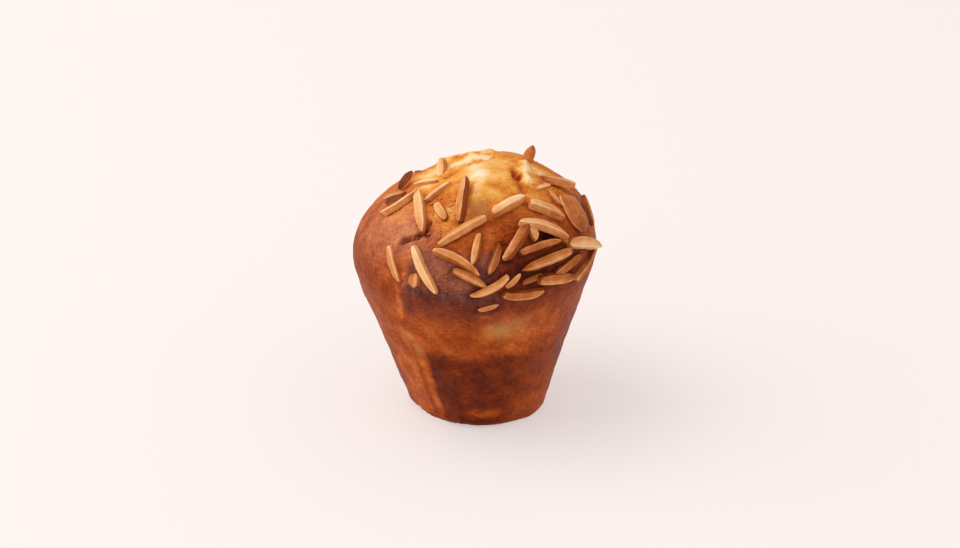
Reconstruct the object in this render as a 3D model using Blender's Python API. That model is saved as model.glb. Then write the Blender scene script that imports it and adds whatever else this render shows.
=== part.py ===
# Almond muffin: a tulip-shaped muffin, widest at its shoulder, with a burst crown
# and roasted almond slivers baked onto the crown and the shoulder.
# Azimuths are in degrees round the muffin, 0 at the front (-Y) and 90 at the right (+X).

from collections import namedtuple
import math
import random

import bmesh
import bpy
from mathutils import Matrix, Vector

MM = 0.001

# Body
FOOT_RADIUS = 21.4 * MM        # the flat that it stands on
FOOT_ROUNDING = 3.6 * MM       # height of the rounded corner round the foot
WALL_FOOT_RADIUS = 25.2 * MM   # where the rounding meets the straight wall
WALL_FLARE = 0.338             # outward run of the wall for each unit of height
SHOULDER_RADIUS = 43.0 * MM
SHOULDER_HEIGHT = 60.0 * MM
SHOULDER_BLEND = 7.5 * MM      # height over which the wall turns into the shoulder
CROWN_HEIGHT = 31.3 * MM       # above the shoulder
CROWN_LEAN = 3.0 * MM          # the crown rose a little to the right

SIDES = 56
WALL_RINGS = 7
BLEND_RINGS = 2
CROWN_RINGS = 14

# Gentle lumps and hollows: azimuth, height, spread, push outwards (lengths in mm)
Lump = namedtuple("Lump", "azimuth height spread push")
LUMPS = [
    Lump(-48, 3, 13, -2.0),     # squashed corner of the foot
    Lump(62, 5, 11, 1.2),
    Lump(75, 36, 22, -0.4),     # flatter right side
    Lump(75, 50, 14, -0.6),
    Lump(-90, 43.5, 6, 1.0),
    Lump(-90, 58, 15, 1.1),
    Lump(-78, 76, 13, -1.2),    # bare, sloping left shoulder
    Lump(-98, 69, 7, 0.6),
    Lump(-103, 87, 11, -2.2),
    Lump(0, 88, 10, 1.6),       # pale batter that burst through at the front of the crown
    Lump(25, 90.5, 11, 1.0),
    Lump(-29, 82.5, 7, -1.3),   # torn hollow beside it
    Lump(74, 89, 5, 1.2),       # nub of crust on the right of the crown
    Lump(97, 87, 10, -1.1),
    Lump(88, 70, 9, -0.8),
    Lump(150, 88, 12, 1.4),
    Lump(180, 60, 20, 0.8),
    Lump(-140, 30, 18, -1.0),
    Lump(-138, 82, 7, -1.4),
]

# Cracks, and the lips of torn crust beside them: a route of azimuths and heights,
# half the width, and the push outwards (lengths in mm)
Crease = namedtuple("Crease", "route half_width push")
CREASES = [
    Crease([(-44.5, 74.6), (-41, 76.3), (-37, 77.4), (-35.3, 79), (-36, 81)], 1.3, -1.5),
    Crease([(74, 90.2), (57, 89.7)], 1.8, -2.4),                                    # pit beside the burst
    Crease([(54, 89.2), (42, 87.6)], 1.4, -0.9),                                    # right side of the burst
    Crease([(-33, 90.6), (-16, 88.6), (-11, 86.3), (-5.5, 84.3)], 1.2, -0.9),       # its left side
    Crease([(-68, 89.6), (-90, 90.5), (-114, 91), (-174, 91), (156, 90.6)], 1.2, -0.8),  # under the flap
    Crease([(-135, 87.2), (-143, 88.9), (-165, 90.2), (170, 89.8)], 2.0, 1.6),      # lifted flap
    Crease([(120, 88.8), (90, 89.5), (68, 89.1), (61, 88.6)], 1.5, 1.0),            # pale tongue
    Crease([(128, 78), (146, 80.5), (160, 84), (163, 87)], 1.6, -2.2),
    Crease([(-150, 75), (-138, 79), (-128, 80.5)], 1.4, -1.6),
]
CREASE_REFINE = 3.4 * MM       # the mesh is made finer this close to a crease

# Almond slivers that show at the front, as they lie. Turn is the direction of the long side:
# 0 points round to the right and 90 up to the crown. Bow bends the sliver sideways, lift holds
# it off the crust, rise tips its far end up, and roll turns it about its length (mm, degrees).
Sliver = namedtuple("Sliver", "azimuth height turn length width bow lift rise roll",
                    defaults=(0, 0.2, 0, 0))
FRONT_SLIVERS = [
    # left of the crown
    Sliver(-97, 84, 135, 8.2, 4.4, lift=1.6, rise=22),
    Sliver(-87, 81.2, 58, 10.5, 2.6, lift=0.4),
    Sliver(-78.5, 81.3, 46, 9.5, 4.2, lift=0.5),
    Sliver(-71, 81.4, 68, 17, 3.4, bow=-3.4, lift=0.5, roll=-15),
    Sliver(-79, 87.4, 42, 11.5, 3.0, lift=0.2),
    Sliver(-104, 89.2, 0, 10, 3.8, lift=0.4, rise=-28),
    Sliver(-46.5, 82.4, -44, 19, 4.2, lift=0.4),
    Sliver(-49, 87.3, 84, 11.5, 3.0, lift=0.2, roll=-15),
    Sliver(-32, 84.1, -38, 8, 3.8, lift=0.4),
    Sliver(-19, 86.8, 98, 19.5, 3.7, lift=0.5, rise=3, roll=-24),
    # left shoulder
    Sliver(-44.5, 67.1, -48, 13.8, 3.1, bow=-0.5, roll=-12),
    Sliver(-27, 68.1, -50, 19, 3.7, bow=-0.5, roll=8),
    Sliver(-30, 64.5, -85, 5, 4.4),
    # front of the shoulder
    Sliver(-12.5, 80.5, 218, 19.5, 3.7, lift=0.6, roll=32),
    Sliver(-11.5, 72.4, -24, 19, 3.4, bow=1.0, lift=0.3, roll=-26),
    Sliver(-4, 67.4, -26, 13.5, 3.1, bow=0.4, lift=0.3, roll=-24),
    Sliver(5.5, 64.4, 206, 15, 3.3, bow=1.2, lift=0.6, roll=20),
    Sliver(21.5, 60.8, -5, 15.2, 3.9, bow=-0.8, roll=8),
    Sliver(-3, 76, 260, 11.5, 2.9, roll=16),
    Sliver(7, 73, 247, 11.5, 3.1, bow=0.6, roll=-10),
    Sliver(20, 78, 47, 18.5, 3.9, bow=-0.8, lift=0.6, roll=-34),
    Sliver(16.5, 65.8, 37, 7, 2.4, bow=-0.5, roll=-12),
    Sliver(26, 65.5, 12, 9, 2.8, lift=-0.2),
    Sliver(6, 56.4, 20, 7.5, 2.4, lift=-0.5, roll=-10),
    # right shoulder
    Sliver(39, 63.5, -10, 16.5, 4.5, lift=0.2),
    Sliver(60, 61.8, 15, 14, 3.5),
    Sliver(34, 70.4, 185, 22, 4.0, lift=0.6, roll=14),
    Sliver(32, 74.8, 3, 17, 3.4, lift=0.3, roll=-16),
    Sliver(47, 66.4, 13, 16, 3.4, roll=-12),
    Sliver(68, 64.3, 20, 12, 3.2, lift=0.3),
    Sliver(60.5, 70.3, -25, 18, 4.8, bow=0.8, lift=0.9, rise=8),
    # right of the crown
    Sliver(30, 79.4, 96, 7.5, 3.6),
    Sliver(37.5, 79.2, -34, 19.5, 4.0, bow=1.6, lift=0.9, roll=-24),
    Sliver(46.5, 75.2, -55, 9.5, 2.4, lift=0.5),
    Sliver(19, 85.6, 23, 15, 4.2, bow=0.2, lift=0.5, roll=-20),
    Sliver(46.5, 82.8, -48, 13.5, 4.6, bow=0.8, lift=0.5, roll=-14),
    Sliver(67, 78.7, 247, 14.5, 10.5, lift=0.4),
    Sliver(83, 75.8, 215, 13.5, 3.0, lift=1.2),
    Sliver(86, 85.2, 88, 13, 4.2, lift=1.4, rise=-14, roll=8),
    Sliver(71, 86.8, -17, 9.5, 1.9, lift=0.2),
    Sliver(64.5, 84.2, -108, 8.5, 2.4),
    Sliver(123, 88.5, 138, 9, 4.6, lift=1.0, rise=48),
]
SLIVER_THICKNESS = 0.68        # of its width
MAX_THICKNESS = 3.8 * MM
SLIVER_SINK = 0.9 * MM         # baked into the crust
SLIVER_SAG = 0.5               # how much of the crust's curve a sliver follows
SLIVER_SPANS = 4               # along its length
SLIVER_TOP = 0.78              # width of the rounded upper face, of the lower one
BLUNT_END = 0.62               # of the width, at the two ends
POINTED_END = 0.34

# Almond slivers strewn over the part that does not show
STREWN_COUNT = 42
STREWN_DRAWS = 900        # more than are placed: many fall in sight or too close
STREWN_SEED = 11
STREWN_AZIMUTHS = (96, 262)
STREWN_HEIGHTS = (59.5, 87)
STREWN_SPACING = 5.4 * MM
STREWN_ROLL = 16          # degrees, for each mm of bow
FRONT_VIEW = Vector((0, -0.906, 0.423))   # towards someone who looks at the front
HIDDEN_FACING = -0.38          # the crust faces at least this much away from them
RIM_FACING = -0.52             # and up to here, slivers lie along the rim that they see

MUFFIN_COLOUR = (0.43, 0.15, 0.045, 1)
ALMOND_COLOUR = (0.64, 0.33, 0.14, 1)


def wall_radius(height):
    return WALL_FOOT_RADIUS + WALL_FLARE * (height - FOOT_ROUNDING)


def turned_radius(height):
    # Outer radius of the plain turned form at a height.
    if height < FOOT_ROUNDING:
        part = 1 - height / FOOT_ROUNDING
        return FOOT_RADIUS + (WALL_FOOT_RADIUS - FOOT_RADIUS) * math.sqrt(1 - part * part)
    if height < SHOULDER_HEIGHT - SHOULDER_BLEND:
        return wall_radius(height)
    if height < SHOULDER_HEIGHT:
        start = wall_radius(SHOULDER_HEIGHT - SHOULDER_BLEND)
        part = (SHOULDER_HEIGHT - height) / SHOULDER_BLEND
        return SHOULDER_RADIUS - (SHOULDER_RADIUS - start) * part * part
    part = min(1, (height - SHOULDER_HEIGHT) / CROWN_HEIGHT)
    return SHOULDER_RADIUS * math.sqrt(1 - part * part)


def ring_heights():
    top = SHOULDER_HEIGHT - SHOULDER_BLEND
    rounding = [FOOT_ROUNDING * part for part in (0, 0.12, 0.45)]
    wall = [FOOT_ROUNDING + (top - FOOT_ROUNDING) * i / WALL_RINGS for i in range(WALL_RINGS)]
    blend = [top + SHOULDER_BLEND * i / BLEND_RINGS for i in range(BLEND_RINGS)]
    quarter = [math.radians(90) * i / CROWN_RINGS for i in range(CROWN_RINGS + 1)]
    crown = [SHOULDER_HEIGHT + CROWN_HEIGHT * math.sin(angle) for angle in quarter]
    return rounding + wall + blend + crown


def turned_point(azimuth, height):
    radius = turned_radius(height)
    angle = math.radians(azimuth)
    return Vector((radius * math.sin(angle), -radius * math.cos(angle), height))


def turned_normal(point):
    # Outward direction of the turned form at a point on it.
    step = 0.2 * MM
    low = max(0, point.z - step)
    high = min(SHOULDER_HEIGHT + CROWN_HEIGHT, point.z + step)
    slope = (turned_radius(high) - turned_radius(low)) / (high - low)
    out = Vector((point.x, point.y, 0))
    if out.length < 0.01 * MM:
        return Vector((0, 0, 1))
    out.normalize()
    return (out - slope * Vector((0, 0, 1))).normalized()


def distance_to_route(point, route):
    nearest = math.inf
    for start, end in zip(route, route[1:]):
        run = end - start
        part = (point - start).dot(run) / run.length_squared
        nearest = min(nearest, (point - start - run * min(1, max(0, part))).length)
    return nearest


LUMP_CENTRES = [turned_point(lump.azimuth, lump.height * MM) for lump in LUMPS]
CREASE_ROUTES = [[turned_point(azimuth, height * MM) for azimuth, height in crease.route]
                 for crease in CREASES]


def baked(point):
    # A point of the turned form, moved to where it is on the real, uneven muffin.
    push = 0
    for lump, centre in zip(LUMPS, LUMP_CENTRES):
        push += lump.push * math.exp(-(point - centre).length_squared / (lump.spread * MM) ** 2)
    for crease, route in zip(CREASES, CREASE_ROUTES):
        away = distance_to_route(point, route) / (crease.half_width * MM)
        push += crease.push * math.exp(-away * away)
    moved = point + turned_normal(point) * push * MM
    part = min(1, max(0, (moved.z - 50 * MM) / (40 * MM)))
    moved.x += CROWN_LEAN * part * part * (3 - 2 * part)
    return moved


def material(name, colour, roughness):
    made = bpy.data.materials.new(name)
    made.use_nodes = True
    shader = made.node_tree.nodes["Principled BSDF"]
    shader.inputs["Base Color"].default_value = colour
    shader.inputs["Roughness"].default_value = roughness
    shader.inputs["Metallic"].default_value = 0
    return made


def new_object(name, bm, collection):
    mesh = bpy.data.meshes.new(name)
    bm.to_mesh(mesh)
    bm.free()
    made = bpy.data.objects.new(name, mesh)
    collection.objects.link(made)
    return made


def muffin_body(collection):
    bm = bmesh.new()
    outline = [bm.verts.new((turned_radius(height), 0, height)) for height in ring_heights()]
    edges = [bm.edges.new(pair) for pair in zip(outline, outline[1:])]
    bmesh.ops.spin(bm, geom=outline + edges, cent=(0, 0, 0), axis=(0, 0, 1),
                   angle=math.tau, steps=SIDES, use_merge=True)
    bmesh.ops.remove_doubles(bm, verts=bm.verts, dist=0.01 * MM)
    bmesh.ops.holes_fill(bm, edges=[edge for edge in bm.edges if edge.is_boundary], sides=0)
    refined = [edge for edge in bm.edges
               if any(distance_to_route((edge.verts[0].co + edge.verts[1].co) / 2, route)
                      < CREASE_REFINE for route in CREASE_ROUTES)]
    bmesh.ops.subdivide_edges(bm, edges=refined, cuts=1, use_grid_fill=True)
    for vert in bm.verts:
        on_foot = vert.co.z < 0.01 * MM
        vert.co = baked(vert.co)
        vert.co.z = 0 if on_foot else max(0, vert.co.z)
    bmesh.ops.triangulate(bm, faces=[face for face in bm.faces if face.normal.z > -0.99])
    bmesh.ops.recalc_face_normals(bm, faces=bm.faces)
    return new_object("almond_muffin", bm, collection)


def crust_frame(azimuth, height):
    # The crust's point, and its directions round to the right, up to the crown and outwards.
    point = baked(turned_point(azimuth, height))
    round_right = baked(turned_point(azimuth + 1, height)) - baked(turned_point(azimuth - 1, height))
    upward = (baked(turned_point(azimuth, height + 0.15 * MM))
              - baked(turned_point(azimuth, height - 0.15 * MM)))
    round_right.normalize()
    outward = round_right.cross(upward).normalized()
    return point, round_right, outward.cross(round_right), outward


def sliver_placing(sliver):
    # The sliver's middle and its own axes: along, across and outwards.
    point, round_right, upward, outward = crust_frame(sliver.azimuth, sliver.height * MM)
    turn = math.radians(sliver.turn)
    along = round_right * math.cos(turn) + upward * math.sin(turn)
    across = outward.cross(along)
    middle = point + outward * (sliver.lift * MM + sliver_thickness(sliver) / 2 - SLIVER_SINK)
    rise = Matrix.Rotation(math.radians(-sliver.rise), 3, across)
    along = rise @ along
    outward = rise @ outward
    roll = Matrix.Rotation(math.radians(sliver.roll), 3, along)
    return middle, along, roll @ across, roll @ outward


def sliver_thickness(sliver):
    return min(SLIVER_THICKNESS * sliver.width * MM, MAX_THICKNESS)


def almond_sliver(sliver, index, collection):
    bm = bmesh.new()
    bmesh.ops.create_cube(bm, size=2)
    long_edges = [edge for edge in bm.edges
                  if abs(edge.verts[0].co.x - edge.verts[1].co.x) > 1]
    bmesh.ops.subdivide_edges(bm, edges=long_edges, cuts=SLIVER_SPANS - 1, use_grid_fill=True)
    middle, along, across, outward = sliver_placing(sliver)
    half_length = sliver.length * MM / 2
    thickness = sliver_thickness(sliver)
    for vert in bm.verts:
        x, y, z = vert.co
        end = POINTED_END if x > 0 else BLUNT_END
        taper = 1 - (1 - end) * abs(x) ** 2.5
        narrowing = SLIVER_TOP if z > 0 else 1
        sideways = sliver.bow * MM * (0.5 - x * x)
        sideways += y * taper * narrowing * sliver.width * MM / 2
        # A round top face, and a sag that follows part of the crust's curve.
        level = z * thickness / 2 * (0.55 + 0.45 * taper)
        level -= SLIVER_SAG * (x * half_length) ** 2 / (2 * SHOULDER_RADIUS)
        vert.co = middle + along * x * half_length + across * sideways + outward * level
    bmesh.ops.triangulate(bm, faces=bm.faces)
    bmesh.ops.recalc_face_normals(bm, faces=bm.faces)
    return new_object(f"sliver_{index:03d}", bm, collection)


def rim_turn(azimuth, outward):
    # The turn of a sliver that lies along the rim of what shows from the front.
    round_right = Vector((math.cos(math.radians(azimuth)), math.sin(math.radians(azimuth)), 0))
    rim = outward.cross(FRONT_VIEW)
    return math.degrees(math.atan2(rim.dot(outward.cross(round_right)), rim.dot(round_right)))


def strewn_slivers():
    draw = random.Random(STREWN_SEED)
    placed = []
    centres = []
    for _ in range(STREWN_DRAWS):
        azimuth = draw.uniform(*STREWN_AZIMUTHS)
        height = draw.uniform(*STREWN_HEIGHTS)
        turn = draw.uniform(0, 180)
        length = draw.uniform(9, 20)
        width = draw.uniform(2.6, 4.2)
        bow = draw.uniform(-1, 1)
        centre = turned_point(azimuth, height * MM)
        outward = turned_normal(centre)
        facing = outward.dot(FRONT_VIEW)
        if facing > HIDDEN_FACING:
            continue
        if facing > RIM_FACING:
            turn = rim_turn(azimuth, outward) + turn / 9 - 10
        if any((centre - other).length < STREWN_SPACING for other in centres):
            continue
        near = sum((centre - other).length < 1.5 * STREWN_SPACING for other in centres)
        centres.append(centre)
        placed.append(Sliver(azimuth, height, turn, length, width, bow, 0.35 * min(2, near),
                             roll=STREWN_ROLL * bow))
    return placed[:STREWN_COUNT]


def fuse(body, collection):
    union = body.modifiers.new("slivers", 'BOOLEAN')
    union.operation = 'UNION'
    union.operand_type = 'COLLECTION'
    union.collection = collection
    union.solver = 'EXACT'
    union.material_mode = 'TRANSFER'
    shown = bpy.context.evaluated_depsgraph_get()
    fused = bpy.data.meshes.new_from_object(body.evaluated_get(shown))
    body.modifiers.clear()
    body.data = fused
    for sliver in list(collection.objects):
        bpy.data.objects.remove(sliver)
    bpy.data.collections.remove(collection)


def keep_outer_shell(body):
    # Drops the walls of sealed hollows, which fills them, and any scrap that hangs free.
    bm = bmesh.new()
    bm.from_mesh(body.data)
    left = set(bm.verts)
    shells = []
    while left:
        shell = set()
        front = [left.pop()]
        while front:
            vert = front.pop()
            shell.add(vert)
            for edge in vert.link_edges:
                other = edge.other_vert(vert)
                if other in left:
                    left.remove(other)
                    front.append(other)
        shells.append(shell)
    outer = max(shells, key=len)
    spare = [vert for shell in shells if shell is not outer for vert in shell]
    bmesh.ops.delete(bm, geom=spare, context='VERTS')
    bm.to_mesh(body.data)
    bm.free()


def build():
    for old in list(bpy.data.objects):
        bpy.data.objects.remove(old)
    scene = bpy.context.scene.collection
    body = muffin_body(scene)
    body.data.materials.append(material("muffin crust", MUFFIN_COLOUR, 0.6))
    almonds = bpy.data.collections.new("almond slivers")
    scene.children.link(almonds)
    roasted = material("roasted almond", ALMOND_COLOUR, 0.5)
    for index, sliver in enumerate(FRONT_SLIVERS + strewn_slivers()):
        almond_sliver(sliver, index, almonds).data.materials.append(roasted)
    fuse(body, almonds)
    keep_outer_shell(body)
    body.data.shade_smooth()
    body.data.set_sharp_from_angle(angle=math.radians(35))


build()
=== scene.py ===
import math
import random
from collections import namedtuple

import bmesh
import bpy
import numpy as np
from mathutils import Matrix, Vector, noise


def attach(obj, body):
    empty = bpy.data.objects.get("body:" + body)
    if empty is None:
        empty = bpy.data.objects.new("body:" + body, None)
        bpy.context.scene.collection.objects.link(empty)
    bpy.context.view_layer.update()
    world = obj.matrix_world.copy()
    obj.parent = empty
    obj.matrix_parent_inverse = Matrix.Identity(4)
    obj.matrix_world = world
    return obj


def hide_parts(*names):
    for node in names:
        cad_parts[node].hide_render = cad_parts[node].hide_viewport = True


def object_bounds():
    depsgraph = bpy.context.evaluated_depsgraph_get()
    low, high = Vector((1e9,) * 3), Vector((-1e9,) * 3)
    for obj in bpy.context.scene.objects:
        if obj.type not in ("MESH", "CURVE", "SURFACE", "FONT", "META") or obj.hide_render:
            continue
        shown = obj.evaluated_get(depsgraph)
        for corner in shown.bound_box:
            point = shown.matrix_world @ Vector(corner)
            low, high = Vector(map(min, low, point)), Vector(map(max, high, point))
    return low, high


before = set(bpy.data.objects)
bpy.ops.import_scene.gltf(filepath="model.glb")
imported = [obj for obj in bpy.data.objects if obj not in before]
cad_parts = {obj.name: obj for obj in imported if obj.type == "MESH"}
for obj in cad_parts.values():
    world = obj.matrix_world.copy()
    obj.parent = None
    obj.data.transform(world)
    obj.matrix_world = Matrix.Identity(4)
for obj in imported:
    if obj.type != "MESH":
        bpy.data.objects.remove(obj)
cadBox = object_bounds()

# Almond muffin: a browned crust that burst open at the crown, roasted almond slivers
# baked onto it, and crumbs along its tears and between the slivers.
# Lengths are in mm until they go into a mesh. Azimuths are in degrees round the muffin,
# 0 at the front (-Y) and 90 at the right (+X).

mm = 0.001


# The form, as the solid has it.

muffin = {
    "footRadius": 21.4,         # the flat that it stands on
    "footRounding": 3.6,        # height of the rounded corner round the foot
    "wallFootRadius": 25.2,
    "wallFlare": 0.338,
    "shoulderRadius": 43.0,
    "shoulderHeight": 60.0,
    "shoulderBlend": 7.5,
    "crownHeight": 31.3,
    "crownLean": 3.0,           # to the right, growing from leanFrom up over leanOver
    "leanFrom": 50,
    "leanOver": 40,
    # azimuth, height, spread and push outwards of gentle lumps and hollows
    "lumps": [
        (-48, 3, 13, -2.0), (62, 5, 11, 1.2), (75, 36, 22, -0.4), (75, 50, 14, -0.6),
        (-90, 43.5, 6, 1.0), (-90, 58, 15, 1.1), (-78, 76, 13, -1.2), (-98, 69, 7, 0.6),
        (-103, 87, 11, -2.2),
        (0, 88, 10, 1.6), (25, 90.5, 11, 1.0), (-29, 82.5, 7, -1.3), (74, 89, 5, 1.2),
        (97, 87, 10, -1.1), (88, 70, 9, -0.8), (150, 88, 12, 1.4), (180, 60, 20, 0.8),
        (-140, 30, 18, -1.0), (-138, 82, 7, -1.4)],
    # route, half the width and push outwards of cracks and lips of torn crust
    "creases": {
        "tear": ([(-44.5, 74.6), (-41, 76.3), (-37, 77.4), (-35.3, 79), (-36, 81)], 1.3, -1.5),
        "pit": ([(74, 90.2), (57, 89.7)], 1.8, -2.4),
        "burstRight": ([(54, 89.2), (42, 87.6)], 1.4, -0.9),
        "burstLeft": ([(-33, 90.6), (-16, 88.6), (-11, 86.3), (-5.5, 84.3)], 1.2, -0.9),
        "underFlap": ([(-68, 89.6), (-90, 90.5), (-114, 91), (-174, 91), (156, 90.6)], 1.2, -0.8),
        "flap": ([(-135, 87.2), (-143, 88.9), (-165, 90.2), (170, 89.8)], 2.0, 1.6),
        "tongue": ([(120, 88.8), (90, 89.5), (68, 89.1), (61, 88.6)], 1.5, 1.0),
        "backTear": ([(128, 78), (146, 80.5), (160, 84), (163, 87)], 1.6, -2.2),
        "sideTear": ([(-150, 75), (-138, 79), (-128, 80.5)], 1.4, -1.6)},
}


def smoothStep(value):
    share = np.clip(value, 0, 1)
    return share * share * (3 - 2 * share)


def unit(vector):
    return vector / np.linalg.norm(vector)


def turnedRadius(height):
    # Radius of the turned form: rounded foot, straight wall, shoulder and rounded crown.
    m = muffin
    height = np.asarray(height, float)
    corner = 1 - np.clip(height / m["footRounding"], 0, 1)
    foot = m["footRadius"] + (m["wallFootRadius"] - m["footRadius"]) * np.sqrt(1 - corner**2)
    wall = m["wallFootRadius"] + m["wallFlare"] * (height - m["footRounding"])
    blendStart = m["shoulderHeight"] - m["shoulderBlend"]
    wallTop = m["wallFootRadius"] + m["wallFlare"] * (blendStart - m["footRounding"])
    below = (m["shoulderHeight"] - height) / m["shoulderBlend"]
    blend = m["shoulderRadius"] - (m["shoulderRadius"] - wallTop) * below**2
    rise = np.clip((height - m["shoulderHeight"]) / m["crownHeight"], 0, 1)
    crown = m["shoulderRadius"] * np.sqrt(1 - rise**2)
    return np.select([height < m["footRounding"], height < blendStart,
                      height < m["shoulderHeight"]], [foot, wall, blend], crown)


def turnedPoint(azimuth, height):
    radius = float(turnedRadius(height))
    angle = math.radians(azimuth)
    return np.array([radius * math.sin(angle), -radius * math.cos(angle), height])


def turnedNormals(points):
    # Outward directions of the turned form at points on it.
    step = 0.2
    top = muffin["shoulderHeight"] + muffin["crownHeight"]
    low = np.maximum(0, points[:, 2] - step)
    high = np.minimum(top, points[:, 2] + step)
    slope = (turnedRadius(high) - turnedRadius(low)) / (high - low)
    radius = np.maximum(np.hypot(points[:, 0], points[:, 1]), 0.001)
    normals = np.stack([points[:, 0] / radius, points[:, 1] / radius, -slope], axis=1)
    return normals / np.linalg.norm(normals, axis=1)[:, None]


def segmentDistance(points, start, end):
    run = end - start
    share = np.clip((points - start) @ run / (run @ run), 0, 1)
    return np.linalg.norm(points - start - share[:, None] * run, axis=1)


def routeDistance(points, route):
    corners = [turnedPoint(azimuth, height) for azimuth, height in route]
    nearest = np.full(len(points), np.inf)
    for start, end in zip(corners, corners[1:]):
        nearest = np.minimum(nearest, segmentDistance(points, start, end))
    return nearest


def baked(points):
    # Points of the turned form, moved to where they are on the real, uneven muffin.
    push = np.zeros(len(points))
    for azimuth, height, spread, amount in muffin["lumps"]:
        away = np.sum((points - turnedPoint(azimuth, height))**2, axis=1)
        push += amount * np.exp(-away / spread**2)
    for route, halfWidth, amount in muffin["creases"].values():
        push += amount * np.exp(-(routeDistance(points, route) / halfWidth)**2)
    moved = points + turnedNormals(points) * push[:, None]
    lean = smoothStep((moved[:, 2] - muffin["leanFrom"]) / muffin["leanOver"])
    moved[:, 0] += muffin["crownLean"] * lean
    return moved


def crustFrame(azimuth, height):
    # The crust's point, and its directions round to the right, up to the crown and outwards.
    turn, rise = 1, 0.15        # degrees and mm to the points on either side
    around = [(0, 0), (turn, 0), (-turn, 0), (0, rise), (0, -rise)]
    places = np.array([turnedPoint(azimuth + side, height + up) for side, up in around])
    at, right, left, above, below = baked(places)
    roundRight = unit(right - left)
    outward = unit(np.cross(roundRight, above - below))
    return at, roundRight, np.cross(outward, roundRight), outward


def linearColour(hexColour):
    # An sRGB hex value, as the linear colour that Blender's sockets hold.
    channels = [int(hexColour[i:i + 2], 16) / 255 for i in (1, 3, 5)]
    return [c / 12.92 if c <= 0.04045 else ((c + 0.055) / 1.055)**2.4 for c in channels] + [1]


def addNode(tree, kind, inputs=None, stops=(), **settings):
    # Adds a node: settings are its own properties, inputs are values or sockets to link,
    # and stops are the places, from 0 to 1, and the hex colours of a colour ramp.
    node = tree.nodes.new(kind)
    for name, value in settings.items():
        setattr(node, name, value)
    for socket, value in (inputs or {}).items():
        if isinstance(value, bpy.types.NodeSocket):
            tree.links.new(value, node.inputs[socket])
        else:
            node.inputs[socket].default_value = value
    for place, _ in stops[1:-1]:
        node.color_ramp.elements.new(place)
    for index, (_, hexColour) in enumerate(stops):
        node.color_ramp.elements[index].color = linearColour(hexColour)
    return node


def newMaterial(name, sockets):
    # A material with its node tree and shader. Sockets holds what is the same all over.
    made = bpy.data.materials.new(name)
    made.use_nodes = True
    tree = made.node_tree
    shader = tree.nodes["Principled BSDF"]
    for socket, value in sockets.items():
        shader.inputs[socket].default_value = value
    return made, tree, shader


crustLook = {
    # browning from raw-looking batter to a dark, caramelised foot
    "ramp": [(0.0, "#fff0cf"), (0.12, "#fddca6"), (0.25, "#f6b255"), (0.38, "#e1872e"),
             (0.50, "#c26229"), (0.62, "#a2460c"), (0.74, "#833105"), (0.86, "#642004"),
             (1.0, "#3d0f05")],
    "bare": "#b28a52",          # dry crumb where the skin stuck to the tin
    "bareFlecks": 1.5,          # how strongly the flecks break it up
    "patchSize": 6.0,           # mm, uneven browning
    "fleckSize": 1.7,           # mm, flecks of sugar and crumb
    "fleckFlatness": 1.5,       # of their width, over their height
    "poreSpacing": 1.7,         # mm, between the pores of the skin
    "poreEdges": (0.08, 0.3),   # of the spacing, from a pore's floor to its rim
    "grainSize": 0.55,          # mm, finest crumb that still shows
    # how far each moves the browning, and how much of that the palest batter keeps
    "patchChange": 0.46,
    "fleckChange": 0.26,
    "poreChange": 0.09,
    "evenShare": 0.35,
    "unevenTones": (0.05, 0.45),    # browning of that batter, and of what changes in full
    "dulledSaturation": 0.42,   # where steam left the crust duller and pinker
    "dulledValue": 1.1,
    "roughness": (0.72, 0.46),  # of pale crumb and of brown skin
    "sheenTones": (0.15, 0.7),  # browning of the two
    # relief of the flecks and pores, next to the grain's
    "fleckRise": 1.2,
    "poreRise": -0.8,
    "reliefDepth": 0.22 * mm,
    "reliefStrength": 0.7,
    # dry skin glints less than its IOR alone would have it
    "sockets": {"IOR": 1.45, "Specular IOR Level": 0.09, "Subsurface Weight": 0.05,
                "Subsurface Radius": (1.0, 0.45, 0.2), "Subsurface Scale": 1.5 * mm},
}


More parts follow.
